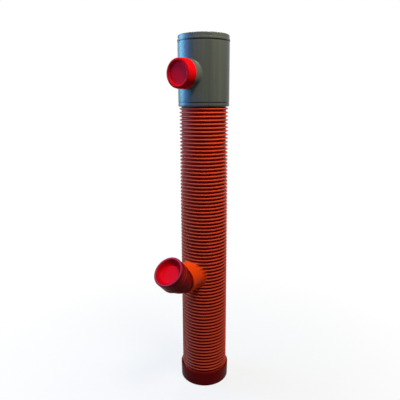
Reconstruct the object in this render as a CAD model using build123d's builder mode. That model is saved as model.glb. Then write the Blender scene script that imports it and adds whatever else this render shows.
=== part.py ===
"""Downpipe gully: a corrugated riser with a turnable inlet top, a silt sump and a bent outlet.

Millimetres. Origin at the centre of the flat base, on the riser's axis, +Z up.
Inlet and outlet both point towards -X.
"""

import os
from math import cos, radians, sin, tan

from build123d import *

os.makedirs("parts", exist_ok=True)

# Riser: twin-wall pipe, ribbed outside and smooth inside
rib_pitch = 14.9
rib_count = 86
crest_radius = 100.0
valley_radius = 91.0
riser_bore_radius = 88.0
riser_foot = 8.5

# Branch pipes of nominal size 110
pipe_radius = 55.0
pipe_wall = 3.2
pipe_end_chamfer = 2.0

# Gaps: a push fit, a turning fit, and a fixed fit
push_gap = 0.3
turning_gap = 0.3
fixed_gap = 0.2

# End cap under the riser
cap_height = 66.0
cap_rim_radius = 108.0
cap_foot_radius = 106.6
cap_floor = 5.0
cap_foot_chamfer = 3.0
cap_rim_chamfer = 1.2
cap_seat_radius = 84.0

# Inlet top
socket_depth = 41.6
top_height = 229.9
top_wall = 3.5
stop_ledge_width = 6.5
stop_ledge_thickness = 4.0
seam_chamfer = 0.8
inlet_rise = 105.4
inlet_reach = 157.0

# Ring that holds the top's seal, with a groove that marks its seam with the top
ring_height = 16.9
ring_chamfer_height = 4.5
ring_chamfer_width = 2.0
ring_groove_height = 2.8
ring_groove_depth = 1.5
tongue_height = 8.0
tongue_wall = 1.3

# Lid, whose neck leaves a shadow gap between its flange and the top's rim
lid_plug_depth = 18.0
lid_plug_wall = 2.8
lid_neck_radius = 102.4
lid_neck_height = 3.4
lid_flange_radius = 105.2
lid_flange_thickness = 7.0
lid_skirt_radius = 103.0
lid_skirt_height = 16.1
lid_top_thickness = 3.5
lid_edge_chamfer = 3.0

# Push-on cap of the inlet
inlet_cap_radius = 57.0
inlet_cap_skirt = 34.3
inlet_cap_floor = 3.0
inlet_cap_recess = 7.0
inlet_cap_recess_radius = 42.5
inlet_cap_recess_slope = 4.0
inlet_cap_taper_length = 12.0
inlet_cap_taper_width = 1.4
inlet_cap_edge_chamfer = 2.2

# Saddle branch on the riser
outlet_height = 526.0
saddle_rim_reach = 156.0
saddle_rim_radius = 62.5
saddle_bead_reach = 136.0
saddle_neck_reach = 132.0
saddle_neck_radius = 60.0
saddle_flare_reach = 104.0
saddle_root_reach = 72.0
saddle_root_radius = 69.0
saddle_socket_depth = 44.0
sleeve_wall = 2.9
saddle_rim_chamfer = 1.2

# Outlet bend
bend_angle = 45.0
bend_radius = 58.0
bend_neck = 0.2
elbow_to_mouth = 91.8
outlet_socket_radius = 65.2
outlet_socket_depth = 57.0
outlet_neck = 0.6
outlet_shoulder = 4.5
mouth_chamfer = 1.7
mouth_edge_chamfer = 1.0

# Lip seals of the two branch sockets
seal_depth = 7.0
seal_width = 9.0
seal_height = 4.6

# Rib seals of the riser's two ends
rib_seal_inner_radius = 92.5
rib_seal_inner_width = 2.2
rib_seal_outer_width = 10.0
cap_seal_valley = 3
top_seal_valley = 84

# Plug of the outlet
plug_depth = 24.0
plug_floor = 4.0
plug_edge_wall = 2.0
plug_edge_chamfer = 0.8
plug_dish_radius = 47.0
plug_floor_chamfer = 9.0
plug_back_chamfer = 7.0

# Sizes that follow from those above
riser_top = riser_foot + rib_count * rib_pitch
pipe_bore_radius = pipe_radius - pipe_wall
top_bore_radius = crest_radius + turning_gap + fixed_gap
top_radius = top_bore_radius + top_wall
top_foot = riser_top - socket_depth
top_rim = top_foot + top_height
inlet_height = top_foot + inlet_rise
ledge_radius = top_bore_radius - stop_ledge_width
push_bore_radius = pipe_radius + push_gap
seal_groove_radius = push_bore_radius + seal_height


def branch_plane(height):
    """Profile plane of a turned branch part: x runs out along -X, y is the radius."""
    return Plane(origin=(0, 0, height), x_dir=(-1, 0, 0), z_dir=(0, 1, 0))


def branch_face(distance, height):
    """Plane across a branch, facing away from the riser."""
    return Plane(origin=(-distance, 0, height), x_dir=(0, 1, 0), z_dir=(-1, 0, 0))


def rib_seal(valley, bore_radius, gap):
    """Wedge-shaped rubber ring that sits in one valley and fills a bore around it."""
    middle = riser_foot + valley * rib_pitch
    outer_radius = bore_radius - gap
    with BuildPart() as ring:
        with BuildSketch(Plane.XZ):
            with BuildLine():
                Polyline(
                    (rib_seal_inner_radius, middle - rib_seal_inner_width / 2),
                    (outer_radius, middle - rib_seal_outer_width / 2),
                    (outer_radius, middle + rib_seal_outer_width / 2),
                    (rib_seal_inner_radius, middle + rib_seal_inner_width / 2),
                    close=True,
                )
            make_face()
        revolve(axis=Axis.Z)
    return ring


def lip_seal(plane, axis, face):
    """Rubber ring in a socket's groove, whose front side lies seal_depth behind the mouth face."""
    back = face - seal_depth - seal_width
    with BuildPart() as ring:
        with BuildSketch(plane):
            with BuildLine():
                Polyline(
                    (back + fixed_gap, seal_groove_radius - fixed_gap),
                    (back + seal_width - fixed_gap, seal_groove_radius - fixed_gap),
                    (back + seal_width - fixed_gap, push_bore_radius + seal_height / 2),
                    (back + seal_width / 2, push_bore_radius),
                    (back + fixed_gap, push_bore_radius),
                    close=True,
                )
            make_face()
        revolve(axis=axis)
    return ring


# Riser, cut to length in the middle of a valley at both ends
rib_outline = [(riser_bore_radius, riser_foot), (valley_radius, riser_foot)]
for rib in range(rib_count):
    rib_outline.append((crest_radius, riser_foot + (rib + 0.5) * rib_pitch))
    rib_outline.append((valley_radius, riser_foot + (rib + 1) * rib_pitch))
rib_outline.append((riser_bore_radius, riser_top))

with BuildPart() as riser:
    with BuildSketch(Plane.XZ):
        with BuildLine():
            Polyline(*rib_outline, close=True)
        make_face()
    revolve(axis=Axis.Z)
    # Hole that takes the saddle's sleeve
    with BuildSketch(branch_face(0, outlet_height)):
        Circle(push_bore_radius)
    extrude(amount=crest_radius, mode=Mode.SUBTRACT)
riser.part.label = "riser"
export_step(riser.part, "parts/riser.step")

# End cap, with a raised seat for the riser's cut end
with BuildPart() as end_cap:
    with BuildSketch(Plane.XZ):
        with BuildLine():
            Polyline(
                (0, 0),
                (cap_foot_radius - cap_foot_chamfer, 0),
                (cap_foot_radius, cap_foot_chamfer),
                (cap_rim_radius, cap_height - cap_rim_chamfer),
                (cap_rim_radius - cap_rim_chamfer, cap_height),
                (crest_radius + fixed_gap, cap_height),
                (crest_radius + fixed_gap, riser_foot),
                (cap_seat_radius, riser_foot),
                (cap_seat_radius, cap_floor),
                (0, cap_floor),
                close=True,
            )
        make_face()
    revolve(axis=Axis.Z)
end_cap.part.label = "end_cap"
export_step(end_cap.part, "parts/end_cap.step")

base_seal = rib_seal(cap_seal_valley, crest_radius + fixed_gap, 0)
base_seal.part.label = "base_seal"
export_step(base_seal.part, "parts/base_seal.step")

# Inlet top: a sleeve over the riser, a ledge that stops on the riser's end, and the inlet pipe
tongue_bore_radius = top_bore_radius + tongue_wall + fixed_gap
with BuildPart() as top_body:
    with BuildSketch(Plane.XY.offset(top_foot)):
        Circle(top_radius)
    extrude(amount=top_height)
    with BuildSketch(branch_face(0, inlet_height)):
        Circle(pipe_radius)
    extrude(amount=inlet_reach)
    with BuildSketch(Plane.XZ):
        with BuildLine():
            Polyline(
                (0, top_foot),
                (tongue_bore_radius, top_foot),
                (tongue_bore_radius, top_foot + tongue_height + fixed_gap),
                (top_bore_radius, top_foot + tongue_height + fixed_gap),
                (top_bore_radius, riser_top),
                (ledge_radius, riser_top),
                (ledge_radius, riser_top + stop_ledge_thickness),
                (top_bore_radius, riser_top + stop_ledge_thickness),
                (top_bore_radius, top_rim),
                (0, top_rim),
                close=True,
            )
        make_face()
    revolve(axis=Axis.Z, mode=Mode.SUBTRACT)
    with BuildSketch(branch_face(0, inlet_height)):
        Circle(pipe_bore_radius)
    extrude(amount=inlet_reach, mode=Mode.SUBTRACT)
    spigot_rim = top_body.faces().sort_by(Axis.X)[0].outer_wire().edges()
    chamfer(spigot_rim, pipe_end_chamfer)
    foot_rim = top_body.edges().group_by(Axis.Z)[0].sort_by(SortBy.LENGTH)[-1]
    chamfer(foot_rim, seam_chamfer)
top_body.part.label = "top_body"
export_step(top_body.part, "parts/top_body.step")

top_seal = rib_seal(top_seal_valley, top_bore_radius, turning_gap)
top_seal.part.label = "top_seal"
export_step(top_seal.part, "parts/top_seal.step")

# Snap ring under the top body, whose tongue stands in the body's rebate
with BuildPart() as socket_ring:
    with BuildSketch(Plane.XZ):
        with BuildLine():
            Polyline(
                (top_bore_radius, top_foot - ring_height),
                (top_radius - ring_chamfer_width, top_foot - ring_height),
                (top_radius, top_foot - ring_height + ring_chamfer_height),
                (top_radius, top_foot - ring_groove_height),
                (top_radius - ring_groove_depth, top_foot - ring_groove_height),
                (top_radius - ring_groove_depth, top_foot),
                (top_bore_radius + tongue_wall, top_foot),
                (top_bore_radius + tongue_wall, top_foot + tongue_height),
                (top_bore_radius, top_foot + tongue_height),
                close=True,
            )
        make_face()
    revolve(axis=Axis.Z)
socket_ring.part.label = "socket_ring"
export_step(socket_ring.part, "parts/socket_ring.step")

# Lid, hollow underneath, with a plug wall inside the top body and a flange over its rim
lid_plug_radius = top_bore_radius - push_gap
lid_hollow_radius = lid_plug_radius - lid_plug_wall
lid_flange_foot = top_rim + lid_neck_height
lid_skirt_foot = lid_flange_foot + lid_flange_thickness
lid_top = lid_skirt_foot + lid_skirt_height
with BuildPart() as lid:
    with BuildSketch(Plane.XZ):
        with BuildLine():
            Polyline(
                (0, lid_top),
                (lid_skirt_radius - lid_edge_chamfer, lid_top),
                (lid_skirt_radius, lid_top - lid_edge_chamfer),
                (lid_skirt_radius, lid_skirt_foot),
                (lid_flange_radius, lid_skirt_foot),
                (lid_flange_radius, lid_flange_foot),
                (lid_neck_radius, lid_flange_foot),
                (lid_neck_radius, top_rim),
                (lid_plug_radius, top_rim),
                (lid_plug_radius, top_rim - lid_plug_depth),
                (lid_hollow_radius, top_rim - lid_plug_depth),
                (lid_hollow_radius, lid_top - lid_top_thickness),
                (0, lid_top - lid_top_thickness),
                close=True,
            )
        make_face()
    revolve(axis=Axis.Z)
lid.part.label = "lid"
export_step(lid.part, "parts/lid.step")

# Push-on cap of the inlet pipe, with a sunk middle
inlet_cap_back = inlet_reach + fixed_gap
inlet_cap_face = inlet_cap_back + inlet_cap_floor + inlet_cap_recess
inlet_cap_edge_radius = inlet_cap_radius - inlet_cap_taper_width
with BuildPart() as inlet_cap:
    with BuildSketch(branch_plane(inlet_height)):
        with BuildLine():
            Polyline(
                (inlet_cap_back - inlet_cap_skirt, push_bore_radius),
                (inlet_cap_back - inlet_cap_skirt, inlet_cap_radius),
                (inlet_cap_face - inlet_cap_taper_length, inlet_cap_radius),
                (inlet_cap_face - inlet_cap_edge_chamfer, inlet_cap_edge_radius),
                (inlet_cap_face, inlet_cap_edge_radius - inlet_cap_edge_chamfer),
                (inlet_cap_face, inlet_cap_recess_radius + inlet_cap_recess_slope),
                (inlet_cap_back + inlet_cap_floor, inlet_cap_recess_radius),
                (inlet_cap_back + inlet_cap_floor, 0),
                (inlet_cap_back, 0),
                (inlet_cap_back, push_bore_radius),
                close=True,
            )
        make_face()
    revolve(axis=Axis((0, 0, inlet_height), (-1, 0, 0)))
inlet_cap.part.label = "inlet_cap"
export_step(inlet_cap.part, "parts/inlet_cap.step")

# Saddle branch: a beaded socket flared onto the rib crests, with a sleeve through the riser's hole
outlet_axis = Axis((0, 0, outlet_height), (-1, 0, 0))
saddle_socket_end = saddle_rim_reach - saddle_socket_depth
with BuildPart() as saddle_branch:
    with BuildSketch(branch_plane(outlet_height)):
        with BuildLine():
            Polyline(
                (0, 0),
                (saddle_rim_reach, 0),
                (saddle_rim_reach, saddle_rim_radius - saddle_rim_chamfer),
                (saddle_rim_reach - saddle_rim_chamfer, saddle_rim_radius),
                (saddle_bead_reach, saddle_rim_radius),
                (saddle_neck_reach, saddle_neck_radius),
                (saddle_flare_reach, saddle_neck_radius),
                (saddle_root_reach, saddle_root_radius),
                (0, saddle_root_radius),
                close=True,
            )
        make_face()
    revolve(axis=outlet_axis)
    # The underside follows the rib crests
    with BuildSketch(Plane.XY.offset(outlet_height - crest_radius)):
        Circle(crest_radius + fixed_gap)
    extrude(amount=2 * crest_radius, mode=Mode.SUBTRACT)
    with BuildSketch(branch_face(0, outlet_height)):
        Circle(pipe_bore_radius + sleeve_wall)
    extrude(amount=saddle_neck_reach)
    # The sleeve ends flush with the riser's smooth bore
    with BuildSketch(Plane.XY.offset(outlet_height - crest_radius)):
        Circle(riser_bore_radius)
    extrude(amount=2 * crest_radius, mode=Mode.SUBTRACT)
    with BuildSketch(branch_plane(outlet_height)):
        with BuildLine():
            Polyline(
                (0, 0),
                (0, pipe_bore_radius),
                (saddle_socket_end, pipe_bore_radius),
                (saddle_socket_end, push_bore_radius),
                (saddle_rim_reach - seal_depth - seal_width, push_bore_radius),
                (saddle_rim_reach - seal_depth - seal_width, seal_groove_radius),
                (saddle_rim_reach - seal_depth, seal_groove_radius),
                (saddle_rim_reach - seal_depth, push_bore_radius),
                (saddle_rim_reach, push_bore_radius),
                (saddle_rim_reach, 0),
                close=True,
            )
        make_face()
    revolve(axis=outlet_axis, mode=Mode.SUBTRACT)
saddle_branch.part.label = "saddle_branch"
export_step(saddle_branch.part, "parts/saddle_branch.step")

branch_seal = lip_seal(branch_plane(outlet_height), outlet_axis, saddle_rim_reach)
branch_seal.part.label = "branch_seal"
export_step(branch_seal.part, "parts/branch_seal.step")

# Outlet bend: a pipe end in the saddle's socket, an elbow, and a socket that looks up and out
elbow_tangent = bend_radius * tan(radians(bend_angle / 2))
arc_start_reach = saddle_rim_reach + bend_neck
elbow = Vector(-arc_start_reach - elbow_tangent, 0, outlet_height)
mouth_direction = Vector(-cos(radians(bend_angle)), 0, sin(radians(bend_angle)))
mouth_plane = Plane(origin=elbow, x_dir=mouth_direction, z_dir=(0, 1, 0))
mouth_axis = Axis(elbow, mouth_direction)
pipe_start_reach = saddle_socket_end + push_gap
socket_bottom = elbow_to_mouth - outlet_socket_depth
with BuildPart() as outlet_bend:
    with BuildLine(Plane.XZ):
        Line((-pipe_start_reach, outlet_height), (-arc_start_reach, outlet_height))
        JernArc(
            start=(-arc_start_reach, outlet_height),
            tangent=(-1, 0),
            radius=bend_radius,
            arc_size=-bend_angle,
        )
    with BuildSketch(branch_face(pipe_start_reach, outlet_height)):
        Circle(pipe_radius)
        Circle(pipe_bore_radius, mode=Mode.SUBTRACT)
    sweep()
    with BuildSketch(mouth_plane):
        with BuildLine():
            Polyline(
                (elbow_tangent, pipe_bore_radius),
                (elbow_tangent, pipe_radius),
                (elbow_tangent + outlet_neck, pipe_radius),
                (elbow_tangent + outlet_neck + outlet_shoulder, outlet_socket_radius),
                (elbow_to_mouth - mouth_edge_chamfer, outlet_socket_radius),
                (elbow_to_mouth, outlet_socket_radius - mouth_edge_chamfer),
                (elbow_to_mouth, push_bore_radius + mouth_chamfer),
                (elbow_to_mouth - mouth_chamfer, push_bore_radius),
                (elbow_to_mouth - seal_depth, push_bore_radius),
                (elbow_to_mouth - seal_depth, seal_groove_radius),
                (elbow_to_mouth - seal_depth - seal_width, seal_groove_radius),
                (elbow_to_mouth - seal_depth - seal_width, push_bore_radius),
                (socket_bottom, push_bore_radius),
                (socket_bottom, pipe_bore_radius),
                close=True,
            )
        make_face()
    revolve(axis=mouth_axis)
outlet_bend.part.label = "outlet_bend"
export_step(outlet_bend.part, "parts/outlet_bend.step")

outlet_seal = lip_seal(mouth_plane, mouth_axis, elbow_to_mouth)
outlet_seal.part.label = "outlet_seal"
export_step(outlet_seal.part, "parts/outlet_seal.step")

# Plug of the outlet: a tapered dish whose coned edge sits in the mouth's chamfer
plug_back = elbow_to_mouth - plug_depth
plug_edge_radius = pipe_radius + mouth_chamfer
dish_mouth_radius = plug_edge_radius - plug_edge_wall
with BuildPart() as outlet_plug:
    with BuildSketch(mouth_plane):
        with BuildLine():
            Polyline(
                (plug_back, 0),
                (plug_back, pipe_radius - plug_back_chamfer),
                (plug_back + plug_back_chamfer, pipe_radius),
                (elbow_to_mouth - mouth_chamfer, pipe_radius),
                (elbow_to_mouth, plug_edge_radius),
                (elbow_to_mouth, dish_mouth_radius + plug_edge_chamfer),
                (elbow_to_mouth - plug_edge_chamfer, dish_mouth_radius),
                (plug_back + plug_floor + plug_floor_chamfer, plug_dish_radius),
                (plug_back + plug_floor, plug_dish_radius - plug_floor_chamfer),
                (plug_back + plug_floor, 0),
                close=True,
            )
        make_face()
    revolve(axis=mouth_axis)
outlet_plug.part.label = "outlet_plug"
export_step(outlet_plug.part, "parts/outlet_plug.step")
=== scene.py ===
"""Dresses the packed downpipe gully with moulded meshes, plastic materials, light and a camera.

The pieces' sizes are in millimetres and become metres when a mesh or a tint is made. The plastics'
grain, the camera, the lamps and the floor are in metres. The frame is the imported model's: +Z up
from the centre of the flat base, with the inlet and the outlet towards -X.
"""

from math import cos, pi, radians, sin, sqrt, tan

import bmesh
import bpy
from mathutils import Matrix, Vector


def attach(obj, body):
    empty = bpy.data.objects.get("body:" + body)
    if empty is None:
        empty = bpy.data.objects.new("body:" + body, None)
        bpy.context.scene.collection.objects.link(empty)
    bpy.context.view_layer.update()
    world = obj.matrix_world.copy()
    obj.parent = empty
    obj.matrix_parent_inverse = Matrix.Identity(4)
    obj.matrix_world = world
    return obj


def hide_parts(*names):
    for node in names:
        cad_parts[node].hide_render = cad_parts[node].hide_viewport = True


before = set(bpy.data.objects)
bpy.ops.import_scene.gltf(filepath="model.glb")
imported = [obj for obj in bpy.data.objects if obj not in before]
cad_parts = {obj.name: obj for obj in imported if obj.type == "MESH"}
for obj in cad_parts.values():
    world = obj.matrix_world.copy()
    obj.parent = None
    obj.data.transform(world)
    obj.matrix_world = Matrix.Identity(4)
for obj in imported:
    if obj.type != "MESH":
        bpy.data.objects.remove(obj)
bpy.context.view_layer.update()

MM = 0.001
pipe_segments = 96
branch_segments = 112
wide_segments = 128
rounding_steps = 5
sharp_angle = radians(38)

# Riser
rib_pitch = 14.9
rib_count = 86
riser_foot = 8.5
riser_top = riser_foot + rib_count * rib_pitch
riser_bore = 88.0
valley_radius = 91.0
crest_radius = 100.0
# One rib from the middle of a valley: (share of the pitch, share of the rib's height)
rib_profile = (
    (0.0, 0.0), (0.13, 0.02), (0.205, 0.15), (0.335, 0.80), (0.39, 0.955),
    (0.46, 1.0), (0.54, 1.0), (0.61, 0.955), (0.665, 0.80), (0.795, 0.15), (0.87, 0.02),
)

# End cap, with a well in its floor inside the ledge that the riser stands on
end_cap_rim = 66.0
end_cap_floor = 5.0
end_cap_foot_radius = 106.6
end_cap_rim_radius = 108.0
end_cap_bore = 100.2
end_cap_well = 84.0

# Pipe ends and sockets of the two branches. The groove for a seal lies behind the socket's rim
pipe_radius = 55.0
pipe_bore = 51.8
push_bore = 55.3
groove_radius = 59.9
groove_start = 7.0
groove_end = 16.0

# Saddle branch. Reaches are distances from the riser's axis. The foot's edge has its upright radius
# above and below the branch, and is wider by its spread to the sides
outlet_height = 526.0
saddle_under = 100.2
foot_thickness = 0.8
foot_upright = 61.4
foot_spread = 6.6
foot_rings = 6
neck_reach = 106.0
neck_radius = 60.0
sleeve_radius = 54.7
saddle_stop = 112.0
saddle_rim = 156.0
saddle_rim_radius = 62.5

# Outlet bend. The mouth's reach is measured from the elbow, where the two straight runs would meet
arc_start = saddle_rim + 0.2
pipe_start = saddle_stop + 0.3 - arc_start
bend_radius = 58.0
bend_angle = radians(45)
arc_length = bend_radius * bend_angle
elbow_tangent = bend_radius * tan(bend_angle / 2)
elbow = Vector((-arc_start - elbow_tangent, 0, outlet_height))
mouth_direction = Vector((-cos(bend_angle), 0, sin(bend_angle)))
mouth_reach = 91.8
mouth_radius = 65.2
mouth = arc_length + mouth_reach - elbow_tangent
socket_bottom = mouth - 57

# Plug of the outlet
plug_back = mouth_reach - 24
plug_shoulder = mouth_reach - 17
plug_floor = mouth_reach - 20

# Inlet top, whose ledge stops it on the riser's end
top_foot = 1248.3
top_rim = 1478.2
top_bore = 100.5
top_radius = 104.0
ledge_top = riser_top + 4
ledge_radius = 94.0
collar_top = top_foot + 8.2
collar_radius = 102.0

# Pipe of the inlet. It joins the top round a core that is narrower than its bore, and is then bored
inlet_height = 1353.7
root_radius = pipe_radius + 4.5
root_end = 113.0
inlet_end = 157.0
core_start = 80.0
core_radius = 50.0

# Snap ring, with a groove between it and the inlet top
ring_foot = top_foot - 16.9
ring_shoulder = ring_foot + 4.5
ring_groove_foot = top_foot - 2.8
ring_groove_middle = top_foot - 1.4
ring_groove_radius = 102.5
ring_foot_radius = 102.0
tongue_top = top_foot + 8
tongue_radius = 101.8

# Lid, with a gap between its flange and the inlet top
flange_foot = top_rim + 3.4
lid_gap_middle = top_rim + 1.7
skirt_foot = flange_foot + 7
lid_top = skirt_foot + 16.1
lid_inside = lid_top - 3.5
lid_plug_foot = top_rim - 18
flange_radius = 105.2
lid_radius = 103.0
lid_neck_radius = 102.4
lid_plug_radius = 100.2
lid_plug_bore = 97.4

# Push-on cap of the inlet
cap_mouth = 122.9
cap_inside = 157.2
cap_face = 160.2
cap_end = 167.2
cap_radius = 57.0

# Colours that are laid over the plastics
saddle_glow = (0.86, 0.085, 0.008, 1)
# Painted shade in the rib valleys, a deeper red
valley_shade_red = (0.44, 0.004, 0.001, 1)
# Painted pale highlight on the rib crests
painted_crest_highlight = (0.46, 0.068, 0.026, 1)
# Painted shade in the gap under the lid and the groove over the snap ring
painted_seam_shade = (0.006, 0.007, 0.007, 1)
# Painted highlight rings on the socket's upper side
painted_ring_highlight = (0.52, 0.036, 0.020, 1)
# Painted purplish highlight inside the mouth's rim
painted_rim_highlight = (0.31, 0.015, 0.034, 1)
# Painted shade on the wall of the plug's dish
painted_dish_shade = (0.22, 0.0004, 0.003, 1)
# Painted light on the sunk face of the inlet's cap
painted_face_light = (0.72, 0.0008, 0.0075, 1)
bridge_shade = (0.14, 0.010, 0.003, 1)
white = (1, 1, 1, 1)


def straight(origin, direction):
    """Path of a turned piece: the centre and direction at a distance along a straight axis."""
    start, heading = Vector(origin), Vector(direction).normalized()
    return lambda along: (start + along * heading, heading)


def bend_path(along):
    """The bend's centre line: a run along -X, an arc from distance 0, and a run up and out."""
    swept = min(max(along / bend_radius, 0), bend_angle)
    heading = Vector((-cos(swept), 0, sin(swept)))
    point = Vector((-arc_start - bend_radius * sin(swept), 0,
                    outlet_height + bend_radius * (1 - cos(swept))))
    return point + (min(along, 0) + max(along - arc_length, 0)) * heading, heading


def rounded(corners):
    """Closed outline through (along, radius, rounding) corners, each rounded by an arc."""
    points = []
    for index, (along, radius, rounding) in enumerate(corners):
        corner = Vector((along, radius))
        if not rounding:
            points.append(corner)
            continue
        before = (Vector(corners[index - 1][:2]) - corner).normalized()
        after = (Vector(corners[(index + 1) % len(corners)][:2]) - corner).normalized()
        half = before.angle(after) / 2
        centre = corner + (before + after).normalized() * rounding / sin(half)
        first = corner + before * rounding / tan(half) - centre
        last = corner + after * rounding / tan(half) - centre
        for step in range(rounding_steps + 1):
            points.append(centre + first.lerp(last, step / rounding_steps).normalized() * rounding)
    return points


def divided(points, longest):
    """The closed outline with its long runs cut into equal shorter ones."""
    dense = []
    for index, point in enumerate(points):
        following = points[(index + 1) % len(points)]
        pieces = max(1, round((following - point).length / longest))
        dense += [point.lerp(following, piece / pieces) for piece in range(pieces)]
    return dense


def placed(name, data):
    """New object in the scene."""
    made = bpy.data.objects.new(name, data)
    bpy.context.scene.collection.objects.link(made)
    return made


def ring_mesh(name, rings):
    """Closed mesh of rings of points, each joined to the next and the last to the first."""
    bm = bmesh.new()
    made = [[bm.verts.new(point * MM) for point in ring] for ring in rings]
    for index, ring in enumerate(made):
        other = made[(index + 1) % len(made)]
        for step in range(max(len(ring), len(other))):
            corners = [ring[step % len(ring)], ring[(step + 1) % len(ring)],
                       other[(step + 1) % len(other)], other[step % len(other)]]
            corners = list(dict.fromkeys(corners))
            if len(corners) > 2:
                bm.faces.new(corners)
    bmesh.ops.recalc_face_normals(bm, faces=bm.faces)
    mesh = bpy.data.meshes.new(name)
    bm.to_mesh(mesh)
    bm.free()
    return placed(name, mesh)


def turned(name, outline, path, segments=pipe_segments):
    """Piece turned round a path from a closed outline of (along, radius) points."""
    rings = []
    side = Vector((0, 1, 0))
    angles = [2 * pi * step / segments for step in range(segments)]
    for along, radius in outline:
        centre, heading = path(along)
        up = heading.cross(side)
        if radius:
            rings.append([centre + radius * (cos(a) * side + sin(a) * up) for a in angles])
        else:
            rings.append([centre])
    return ring_mesh(name, rings)


def drill(name, path, radius, start, end, segments=pipe_segments):
    """Plain round tool between two distances along a path."""
    corners = [(start, 0, 0), (start, radius, 0), (end, radius, 0), (end, 0, 0)]
    return turned(name, rounded(corners), path, segments)


def surface_reach(cylinder, offset):
    """Distance from the riser's axis at which a point this far sideways is on a cylinder round it."""
    return sqrt(cylinder**2 - offset**2)


def even(radius):
    """The same radius at every angle round a branch."""
    return lambda angle: radius


def foot_radius(angle):
    """Radius of the saddle's foot, which spreads round the riser."""
    return foot_upright + foot_spread * cos(angle) ** 2


def under_foot(share):
    """Radius on the foot's underside, by the share of the way from the sleeve to the foot's edge."""
    return lambda angle: sleeve_radius + share * (foot_radius(angle) - sleeve_radius)


def seated(cylinder, radius):
    """Station on a cylinder round the riser: (reach, radius) at an angle round the branch."""
    return lambda angle: (surface_reach(cylinder, radius(angle) * cos(angle)), radius(angle))


def fixed(reach, radius):
    """Station with the same reach and radius all round."""
    return lambda angle: (reach, radius)


def flare(cylinder, end_reach, end_radius, edge_radius, steps):
    """Stations of a concave foot that leaves the cylinder along its surface and ends in a neck."""
    def station(share):
        def place(angle):
            edge = edge_radius(angle)
            reach = surface_reach(cylinder, edge * cos(angle))
            slope = edge * cos(angle) ** 2 / reach
            start = Vector((reach, edge))
            middle = Vector((reach + slope * (edge - end_radius), end_radius))
            end = Vector((end_reach, end_radius))
            return start.lerp(middle, share).lerp(middle.lerp(end, share), share)
        return place
    return [station(step / steps) for step in range(steps + 1)]


def branch(name, height, stations):
    """Piece round a branch's axis, made of stations."""
    rings = []
    for station in stations:
        ring = []
        for step in range(branch_segments):
            angle = 2 * pi * step / branch_segments
            reach, radius = station(angle)
            ring.append(Vector((-reach, radius * cos(angle), height + radius * sin(angle))))
        rings.append(ring)
    return ring_mesh(name, rings)


def carve(piece, tool, operation):
    """Joins a piece with a tool's mesh or cuts it away, and removes the tool."""
    change = piece.modifiers.new("carve", "BOOLEAN")
    change.object, change.operation, change.solver = tool, operation, "MANIFOLD"
    bpy.context.view_layer.update()
    shown = piece.evaluated_get(bpy.context.evaluated_depsgraph_get())
    piece.data = bpy.data.meshes.new_from_object(shown)
    piece.modifiers.clear()
    bpy.data.objects.remove(tool)


def finish_piece(piece, body, slot, material, *nodes):
    """Gives a piece its shading, material and body, and hides the CAD nodes that it stands for. The
    slot is not used.
    """
    piece.data.shade_smooth()
    piece.data.set_sharp_from_angle(angle=sharp_angle)
    piece.data.materials.clear()
    piece.data.materials.append(material)
    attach(piece, body)
    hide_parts(*nodes)


def empty_tree(owner):
    """The node tree of a material or of the world, with nothing in it."""
    owner.use_nodes = True
    owner.node_tree.nodes.clear()
    return owner.node_tree


def node(tree, kind, inputs=None, **settings):
    """New shader node with its settings, and values or links for its inputs."""
    made = tree.nodes.new(kind)
    for key, value in settings.items():
        setattr(made, key, value)
    for key, value in (inputs or {}).items():
        if isinstance(value, bpy.types.NodeSocket):
            tree.links.new(value, made.inputs[key])
        else:
            made.inputs[key].default_value = value
    return made


def maths(tree, operation, *values):
    """Number worked out from one or two values."""
    return node(tree, "ShaderNodeMath", dict(enumerate(values)), operation=operation).outputs[0]


def vector_maths(tree, operation, *values, output="Vector"):
    """Vector worked out from one or two vectors, or a number where the output is Value."""
    made = node(tree, "ShaderNodeVectorMath", dict(enumerate(values)), operation=operation)
    return made.outputs[output]


def noise(tree, place, scale, detail, stretch=(1, 1, 1)):
    """Noise from 0 to 1 over the object, in cycles per metre."""
    spread = node(tree, "ShaderNodeMapping", {"Vector": place, "Scale": stretch})
    return node(tree, "ShaderNodeTexNoise",
                {"Vector": spread.outputs[0], "Scale": scale, "Detail": detail}).outputs[0]


def ranged(tree, value, low, high, start=0.3, end=0.7):
    """A value between start and end mapped to the span from low to high."""
    return node(tree, "ShaderNodeMapRange", {
        "Value": value, "From Min": start, "From Max": end, "To Min": low, "To Max": high,
    }).outputs[0]


def within(tree, distance, strength, start, end):
    """The strength up to a start in millimetres, fading to 0 at the end."""
    return ranged(tree, distance, strength, 0, start * MM, end * MM)


def beyond(tree, distance, strength, start, end):
    """0 up to a start in millimetres, growing to the strength at the end."""
    return ranged(tree, distance, 0, strength, start * MM, end * MM)


def mixed(tree, share, one, two):
    """Mix of two colours, which are inputs 6 and 7 and output 2 of the node."""
    return node(tree, "ShaderNodeMix", {0: share, 6: one, 7: two}, data_type="RGBA").outputs[2]


def seen(tree):
    """1 for camera, glossy and transmission rays, 0 for the rays that light the object."""
    rays = node(tree, "ShaderNodeLightPath").outputs
    either = maths(tree, "MAXIMUM", rays["Is Camera Ray"], rays["Is Glossy Ray"])
    return maths(tree, "MAXIMUM", either, rays["Is Transmission Ray"])


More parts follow.
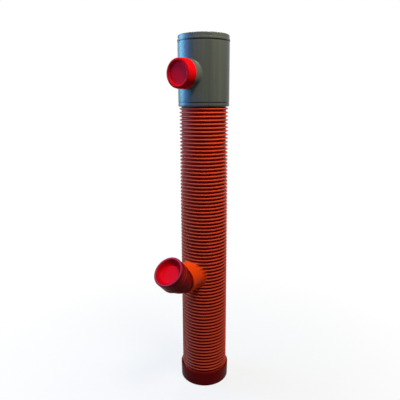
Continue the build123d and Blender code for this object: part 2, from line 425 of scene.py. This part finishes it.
def plastic(name, colour, shade, rough, specular, streak=(1, 1, 1), tinting=None):
    """Moulded plastic: a clouded or streaked colour, fine mould grain and scuffs in the gloss."""
    material = bpy.data.materials.new(name)
    tree = empty_tree(material)
    place = node(tree, "ShaderNodeTexCoord").outputs["Object"]
    clouds = noise(tree, place, scale=9, detail=4, stretch=streak)
    specks = noise(tree, place, scale=260, detail=3, stretch=streak)
    grain = noise(tree, place, scale=1400, detail=2)
    tint = mixed(tree, ranged(tree, clouds, 0, 1), (*colour, 1), (*shade, 1))
    tint = mixed(tree, ranged(tree, specks, 0, 0.35, start=0.45, end=0.75), tint, (*shade, 1))
    if tinting:
        tint = tinting(tree, place, tint)
    gloss = ranged(tree, specks, rough - 0.05, rough + 0.08)
    bump = node(tree, "ShaderNodeBump", {"Strength": 0.12, "Distance": 0.0004, "Height": grain})
    waves = node(tree, "ShaderNodeBump", {
        "Strength": 0.25, "Distance": 0.0012, "Height": clouds, "Normal": bump.outputs[0]})
    shader = node(tree, "ShaderNodeBsdfPrincipled", {
        "Base Color": tint, "Roughness": gloss, "Normal": waves.outputs[0],
        "Specular IOR Level": specular})
    node(tree, "ShaderNodeOutputMaterial", {"Surface": shader.outputs[0]})
    return material


def off_axis(tree, place, centre, weights):
    """Distance in metres from a centre in millimetres, each direction counting by its weight."""
    moved = vector_maths(tree, "SUBTRACT", place, [value * MM for value in centre])
    return vector_maths(tree, "LENGTH", vector_maths(tree, "MULTIPLY", moved, weights),
                        output="Value")


def from_mouth(tree, place):
    """Distances in metres from the mouth's plane along its axis, and from that axis."""
    centre = (elbow + mouth_reach * mouth_direction) * MM
    moved = vector_maths(tree, "SUBTRACT", place, centre)
    along = vector_maths(tree, "DOT_PRODUCT", moved, mouth_direction, output="Value")
    across = vector_maths(tree, "CROSS_PRODUCT", moved, mouth_direction)
    return along, vector_maths(tree, "LENGTH", across, output="Value")


def rib_tinting(tree, place, tint):
    """Painted deep red shade in the valleys, painted pale highlight on the crests, the saddle's
    orange on ribs beside it.
    """
    beside = off_axis(tree, place, (-crest_radius, 0, outlet_height), (0.55, 1, 1))
    tint = mixed(tree, within(tree, beside, 0.75, 60, 76), tint, saddle_glow)
    depth = off_axis(tree, place, (0, 0, 0), (1, 1, 0))
    tint = mixed(tree, beyond(tree, depth, 1, valley_radius + 0.5, crest_radius - 2.5),
                 valley_shade_red, tint)
    # painted highlight on the crests
    return mixed(tree, beyond(tree, depth, 1, crest_radius - 1.6, crest_radius - 0.2),
                 tint, painted_crest_highlight)


def foot_tinting(tree, place, tint):
    """Shade on the saddle's thin foot where it bridges the valleys between the ribs."""
    height = node(tree, "ShaderNodeSeparateXYZ", {0: place}).outputs["Z"]
    above_foot = maths(tree, "ADD", height, -riser_foot * MM)
    turns = maths(tree, "MULTIPLY", above_foot, 2 * pi / (rib_pitch * MM))
    valleys = ranged(tree, maths(tree, "COSINE", turns), 0, 1, start=-0.4, end=1.0)
    reach = off_axis(tree, place, (0, 0, 0), (1, 1, 0))
    share = maths(tree, "MULTIPLY", valleys, within(tree, reach, 0.80, 101.5, 116))
    return mixed(tree, share, tint, bridge_shade)


def rim_tinting(tree, place, tint):
    """Painted purplish highlight inside the mouth's rim, and two painted highlight rings on the
    socket's upper side.
    """
    along, across = from_mouth(tree, place)
    height = node(tree, "ShaderNodeSeparateXYZ", {0: place}).outputs["Z"]
    upper = beyond(tree, height, 1, 530, 570)
    # two painted highlight rings, on the upper side only
    for behind, strength in ((22, 0.40), (37, 0.90)):
        apart = maths(tree, "ABSOLUTE", maths(tree, "ADD", along, behind * MM))
        ring = maths(tree, "MULTIPLY", within(tree, apart, strength, 0.7, 2.4), upper)
        tint = mixed(tree, ring, tint, painted_ring_highlight)
    # painted highlight inside the mouth's rim
    share = maths(tree, "MULTIPLY", beyond(tree, along, 1, -2.5, -0.5),
                  within(tree, across, 1, 60, 63.5))
    return mixed(tree, share, tint, painted_rim_highlight)


def dish_tinting(tree, place, tint):
    """Painted shade on the wall of the plug's dish, a deeper red than on its floor."""
    across = from_mouth(tree, place)[1]
    return mixed(tree, beyond(tree, across, 0.6, 39, 47), tint, painted_dish_shade)


def seam_tinting(tree, place, tint):
    """Painted shade in the gap under the lid's flange and in the groove over the snap ring."""
    for middle, half in ((lid_gap_middle, 2.2), (ring_groove_middle, 1.8)):
        height = off_axis(tree, place, (0, 0, middle), (0, 0, 1))
        tint = mixed(tree, within(tree, height, 0.95, half, half + 0.6), tint, painted_seam_shade)
    return tint


def face_tinting(tree, place, tint):
    """Painted light on the sunk face of the inlet's cap: a brighter crimson."""
    across = off_axis(tree, place, (0, 0, inlet_height), (0, 1, 1))
    return mixed(tree, within(tree, across, 1, 38.5, 42.5), tint, painted_face_light)


rib_plastic = plastic(
    "rib_red_brown", colour=(0.42, 0.028, 0.006), shade=(0.36, 0.021, 0.005),
    rough=0.36, specular=0.06, tinting=rib_tinting)
orange_plastic = plastic(
    "branch_orange", colour=(0.62, 0.042, 0.002), shade=(0.54, 0.034, 0.002),
    rough=0.42, specular=0.03, tinting=foot_tinting)
brown_plastic = plastic(
    "fitting_brown", colour=(0.140, 0.003, 0.002), shade=(0.100, 0.002, 0.002),
    rough=0.34, specular=0.018)
elbow_plastic = plastic(
    "elbow_brown", colour=(0.240, 0.003, 0.002), shade=(0.110, 0.002, 0.002),
    rough=0.34, specular=0.018, streak=(1, 1, 0.25), tinting=rim_tinting)
grey_plastic = plastic(
    "top_grey", colour=(0.069, 0.075, 0.057), shade=(0.034, 0.039, 0.031),
    rough=0.34, specular=0.17, streak=(2.6, 2.6, 0.05), tinting=seam_tinting)
red_plastic = plastic(
    "cap_red", colour=(0.53, 0.0018, 0.0028), shade=(0.45, 0.0014, 0.0040),
    rough=0.38, specular=0.012, tinting=face_tinting)
dish_plastic = plastic(
    "dish_red", colour=(0.60, 0.0010, 0.0040), shade=(0.51, 0.0008, 0.0055),
    rough=0.38, specular=0.008, tinting=dish_tinting)
rubber = plastic(
    "seal_rubber", colour=(0.018, 0.018, 0.018), shade=(0.012, 0.012, 0.012),
    rough=0.62, specular=0.10)

upright = straight((0, 0, 0), (0, 0, 1))
inlet_path = straight((0, 0, inlet_height), (-1, 0, 0))
outlet_path = straight((0, 0, outlet_height), (-1, 0, 0))
mouth_path = straight(elbow, mouth_direction)

# Riser, with a round hole under the saddle
outline = [Vector((riser_foot, riser_bore))]
for rib in range(rib_count):
    for share, height in rib_profile:
        outline.append(Vector((riser_foot + (rib + share) * rib_pitch,
                               valley_radius + height * (crest_radius - valley_radius))))
outline += [Vector((riser_top, valley_radius)), Vector((riser_top, riser_bore))]
riser = turned("riser_pipe", outline, upright)
carve(riser, drill("hole", outlet_path, push_bore, start=60, end=110), "DIFFERENCE")
finish_piece(riser, "riser_body", "rib_red_brown", rib_plastic, "riser")

# End cap
end_cap = turned("end_cap_shell", rounded([
    (0, 0, 0), (0, end_cap_foot_radius, 4), (end_cap_rim, end_cap_rim_radius, 1.6),
    (end_cap_rim, end_cap_bore, 0.8), (riser_foot, end_cap_bore, 0),
    (riser_foot, end_cap_well, 0), (end_cap_floor, end_cap_well, 0), (end_cap_floor, 0, 0),
]), upright, wide_segments)
finish_piece(end_cap, "riser_body", "fitting_brown", brown_plastic, "end_cap")

# Saddle branch, whose thin foot lies on the rib crests
saddle_stations = flare(saddle_under + foot_thickness, neck_reach, neck_radius, foot_radius, 14)
saddle_stations += [fixed(*point) for point in (
    (119, neck_radius), (131, neck_radius), (132.5, neck_radius + 0.2),
    (134.8, saddle_rim_radius - 0.5), (136.4, saddle_rim_radius), (145, saddle_rim_radius),
    (saddle_rim - 1.4, saddle_rim_radius), (saddle_rim - 0.5, saddle_rim_radius - 0.4),
    (saddle_rim - 0.1, saddle_rim_radius - 1), (saddle_rim, saddle_rim_radius - 1.8),
    (saddle_rim, push_bore + 1.1), (saddle_rim - 0.3, push_bore + 0.4), (saddle_rim - 1, push_bore),
    (saddle_rim - groove_start, push_bore), (saddle_rim - groove_start, groove_radius),
    (saddle_rim - groove_end, groove_radius), (saddle_rim - groove_end, push_bore),
    (saddle_stop, push_bore), (saddle_stop, pipe_bore))]
saddle_stations += [seated(riser_bore, even(pipe_bore)), seated(riser_bore, even(sleeve_radius))]
saddle_stations += [seated(saddle_under, under_foot(step / foot_rings))
                    for step in range(foot_rings + 1)]
saddle = branch("saddle_socket", outlet_height, saddle_stations)
finish_piece(saddle, "riser_body", "branch_orange", orange_plastic, "saddle_branch")

# Outlet bend
bend = turned("outlet_elbow", divided(rounded([
    (pipe_start, pipe_bore, 0), (pipe_start, pipe_radius, 1),
    (arc_length + 0.6, pipe_radius, 2.5), (arc_length + 5.1, mouth_radius, 3),
    (mouth, mouth_radius, 3), (mouth, push_bore + 1.7, 1.6), (mouth - 1.7, push_bore, 0.5),
    (mouth - groove_start, push_bore, 0), (mouth - groove_start, groove_radius, 0),
    (mouth - groove_end, groove_radius, 0), (mouth - groove_end, push_bore, 0),
    (socket_bottom, push_bore, 0), (socket_bottom, pipe_bore, 0),
]), longest=4), bend_path)
finish_piece(bend, "bend_body", "fitting_brown", elbow_plastic, "outlet_bend")

# Plug of the outlet, a tapered dish inside the bend's rim
plug = turned("outlet_plug_cup", rounded([
    (plug_back, 0, 0), (plug_back, 48, 4), (plug_shoulder, pipe_radius, 4),
    (mouth_reach - 1.7, pipe_radius, 0), (mouth_reach, 56.7, 0.4), (mouth_reach, 55.0, 0.7),
    (mouth_reach - 1.2, 54.4, 0.8), (mouth_reach - 11, 47, 8), (plug_floor, 38, 8),
    (plug_floor, 0, 0),
]), mouth_path)
finish_piece(plug, "outlet_plug_body", "cap_red", dish_plastic, "outlet_plug")

# Inlet top with the pipe's root rounded into it
top = turned("inlet_top_body", divided(rounded([
    (top_foot, collar_radius, 0), (top_foot, top_radius, 0.8), (top_rim, top_radius, 0.5),
    (top_rim, top_bore, 0.4), (ledge_top, top_bore, 0), (ledge_top, ledge_radius, 0.5),
    (riser_top, ledge_radius, 0.5), (riser_top, top_bore, 0), (collar_top, top_bore, 0),
    (collar_top, collar_radius, 0),
]), longest=8), upright, wide_segments)
inlet_stations = flare(top_radius - 0.4, root_end, pipe_radius, even(root_radius), 8)
inlet_stations += [fixed(*point) for point in (
    (125, pipe_radius), (138, pipe_radius), (inlet_end - 2, pipe_radius),
    (inlet_end - 0.6, pipe_radius - 0.5), (inlet_end, pipe_radius - 1.6),
    (inlet_end, core_radius), (core_start, core_radius))]
inlet_stations += [seated(top_bore + 1, even(core_radius)), seated(top_bore + 1, even(root_radius))]
carve(top, branch("spigot", inlet_height, inlet_stations), "UNION")
carve(top, drill("bore", inlet_path, pipe_bore, start=core_start, end=165, segments=branch_segments),
      "DIFFERENCE")
finish_piece(top, "inlet_top", "top_grey", grey_plastic, "top_body")

# Snap ring, whose tongue goes up into the inlet top
ring = turned("snap_ring", rounded([
    (ring_foot, top_bore, 0.3), (ring_foot, ring_foot_radius, 0.5), (ring_shoulder, top_radius, 3),
    (ring_groove_foot, top_radius, 0.6), (ring_groove_foot, ring_groove_radius, 0),
    (top_foot, ring_groove_radius, 0), (top_foot, tongue_radius, 0), (tongue_top, tongue_radius, 0),
    (tongue_top, top_bore, 0),
]), upright, wide_segments)
finish_piece(ring, "inlet_top", "top_grey", grey_plastic, "socket_ring")

# Lid, whose neck leaves a gap between its flange and the rim
lid = turned("lid_shell", rounded([
    (lid_top, 0, 0), (lid_top, lid_radius, 3.4), (skirt_foot, lid_radius, 0.6),
    (skirt_foot, flange_radius, 1.1), (flange_foot, flange_radius, 0.9),
    (flange_foot, lid_neck_radius, 0), (top_rim, lid_neck_radius, 0), (top_rim, lid_plug_radius, 0),
    (lid_plug_foot, lid_plug_radius, 0.6), (lid_plug_foot, lid_plug_bore, 0.6),
    (lid_inside, lid_plug_bore, 1), (lid_inside, 0, 0),
]), upright, wide_segments)
finish_piece(lid, "lid_body", "top_grey", grey_plastic, "lid")

# Push-on cap of the inlet, with a sunk face inside its rim
cap = turned("inlet_cap_shell", rounded([
    (cap_mouth, push_bore, 0.3), (cap_mouth, cap_radius, 0.6), (155.2, cap_radius, 6),
    (cap_end - 1.7, 55.2, 3), (cap_end, 50.5, 4), (cap_end, 46, 3), (cap_face, 40.5, 3),
    (cap_face, 0, 0), (cap_inside, 0, 0), (cap_inside, push_bore, 0),
]), inlet_path)
finish_piece(cap, "inlet_cap_body", "cap_red", red_plastic, "inlet_cap")

# Rubber seals, which keep their CAD shapes
for name in ("base_seal", "top_seal", "branch_seal", "outlet_seal"):
    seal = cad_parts[name]
    seal.data.materials.clear()
    seal.data.materials.append(rubber)

# Camera at the photograph's place, from its solved distance, height and turns
camera_distance = 1.7393
camera_height = 1.2395
camera_heading = radians(-54)
camera_pitch = 0.2279
camera_yaw = -0.0087
camera_roll = -0.0044
facing = Matrix.Rotation(camera_heading, 3, "Z")
forward = facing @ Vector((sin(camera_yaw) * cos(camera_pitch), cos(camera_yaw) * cos(camera_pitch),
                           -sin(camera_pitch)))
level = facing @ Vector((cos(camera_yaw), -sin(camera_yaw), 0))
upward = level.cross(forward)
right = cos(camera_roll) * level + sin(camera_roll) * upward
up = cos(camera_roll) * upward - sin(camera_roll) * level
camera = placed("camera", bpy.data.cameras.new("camera"))
camera.matrix_world = Matrix.Translation(facing @ Vector((0, -camera_distance, camera_height))) @ (
    Matrix((right, up, -forward)).transposed().to_4x4())
camera.data.sensor_width = 36
camera.data.lens = 37.233
camera.data.shift_x = -0.00125
camera.data.shift_y = 0.00125
camera.data.clip_start = 0.01
bpy.context.scene.camera = camera


def lamp(name, sideways, towards, height, aim, size, power, colour):
    """Area lamp placed by the photograph's right, the way to the camera, and height.

    It points at the riser's axis at the height of its aim.
    """
    to_camera = facing @ Vector((0, -1, 0))
    place = sideways * level + towards * to_camera + Vector((0, 0, height))
    light = placed(name, bpy.data.lights.new(name, "AREA"))
    light.data.shape = "RECTANGLE"
    light.data.size, light.data.size_y = size
    light.data.energy, light.data.color = power, colour
    light.matrix_world = Matrix.Translation(place) @ (
        (place - Vector((0, 0, aim))).to_track_quat("Z", "Y").to_matrix().to_4x4())


# Warm main light, two blue ones on the photograph's left, and a warm one behind
lamp("key", sideways=0.75, towards=0.95, height=3.3, aim=2.9,
     size=(0.8, 0.8), power=176, colour=(1.0, 0.95, 0.86))
lamp("cool", sideways=-1.7, towards=-0.6, height=1.75, aim=1.2,
     size=(1.0, 1.3), power=94, colour=(0.19, 0.60, 1.0))
lamp("blue", sideways=-1.8, towards=0.35, height=1.7, aim=1.1,
     size=(0.7, 1.2), power=42, colour=(0.08, 0.28, 1.0))
lamp("back", sideways=0.0, towards=-2.0, height=2.0, aim=0.9,
     size=(0.5, 1.2), power=50, colour=(1.0, 0.79, 0.57))

# White surroundings for the camera and for gloss, and dim blue light for the rest
dim_blue = (0.018, 0.035, 0.075, 1)
world = bpy.data.worlds.new("studio")
bpy.context.scene.world = world
tree = empty_tree(world)
sky = mixed(tree, seen(tree), dim_blue, white)
shine = node(tree, "ShaderNodeBackground", {"Color": sky, "Strength": 1.0})
node(tree, "ShaderNodeOutputWorld", {"Surface": shine.outputs[0]})

# Pale floor that keeps the shadow and turns into the white surroundings further out
floor_side = 14.0
shadow_reach = 0.2
white_reach = 1.2
white_at_foot = 0.83
floor_dark = (0.30, 0.30, 0.295, 1)
floor_light = (0.335, 0.335, 0.33, 1)
bpy.ops.mesh.primitive_grid_add(x_subdivisions=8, y_subdivisions=8, size=floor_side)
floor = bpy.context.object
floor.name = "floor"
floor_material = bpy.data.materials.new("floor_pale")
tree = empty_tree(floor_material)
place = node(tree, "ShaderNodeTexCoord").outputs["Object"]
distance = vector_maths(tree, "LENGTH", place, output="Value")
far = ranged(tree, distance, white_at_foot, 1.0, start=shadow_reach, end=white_reach)
tone = mixed(tree, ranged(tree, noise(tree, place, scale=35, detail=3), 0, 1),
             floor_dark, floor_light)
matt = node(tree, "ShaderNodeBsdfDiffuse", {"Color": tone})
glow = node(tree, "ShaderNodeEmission", {"Color": white, "Strength": 1.0})
blend = node(tree, "ShaderNodeMixShader", {
    0: maths(tree, "MULTIPLY", seen(tree), far), 1: matt.outputs[0], 2: glow.outputs[0]})
node(tree, "ShaderNodeOutputMaterial", {"Surface": blend.outputs[0]})
floor.data.materials.append(floor_material)

bpy.context.scene.view_settings.view_transform = "Standard"
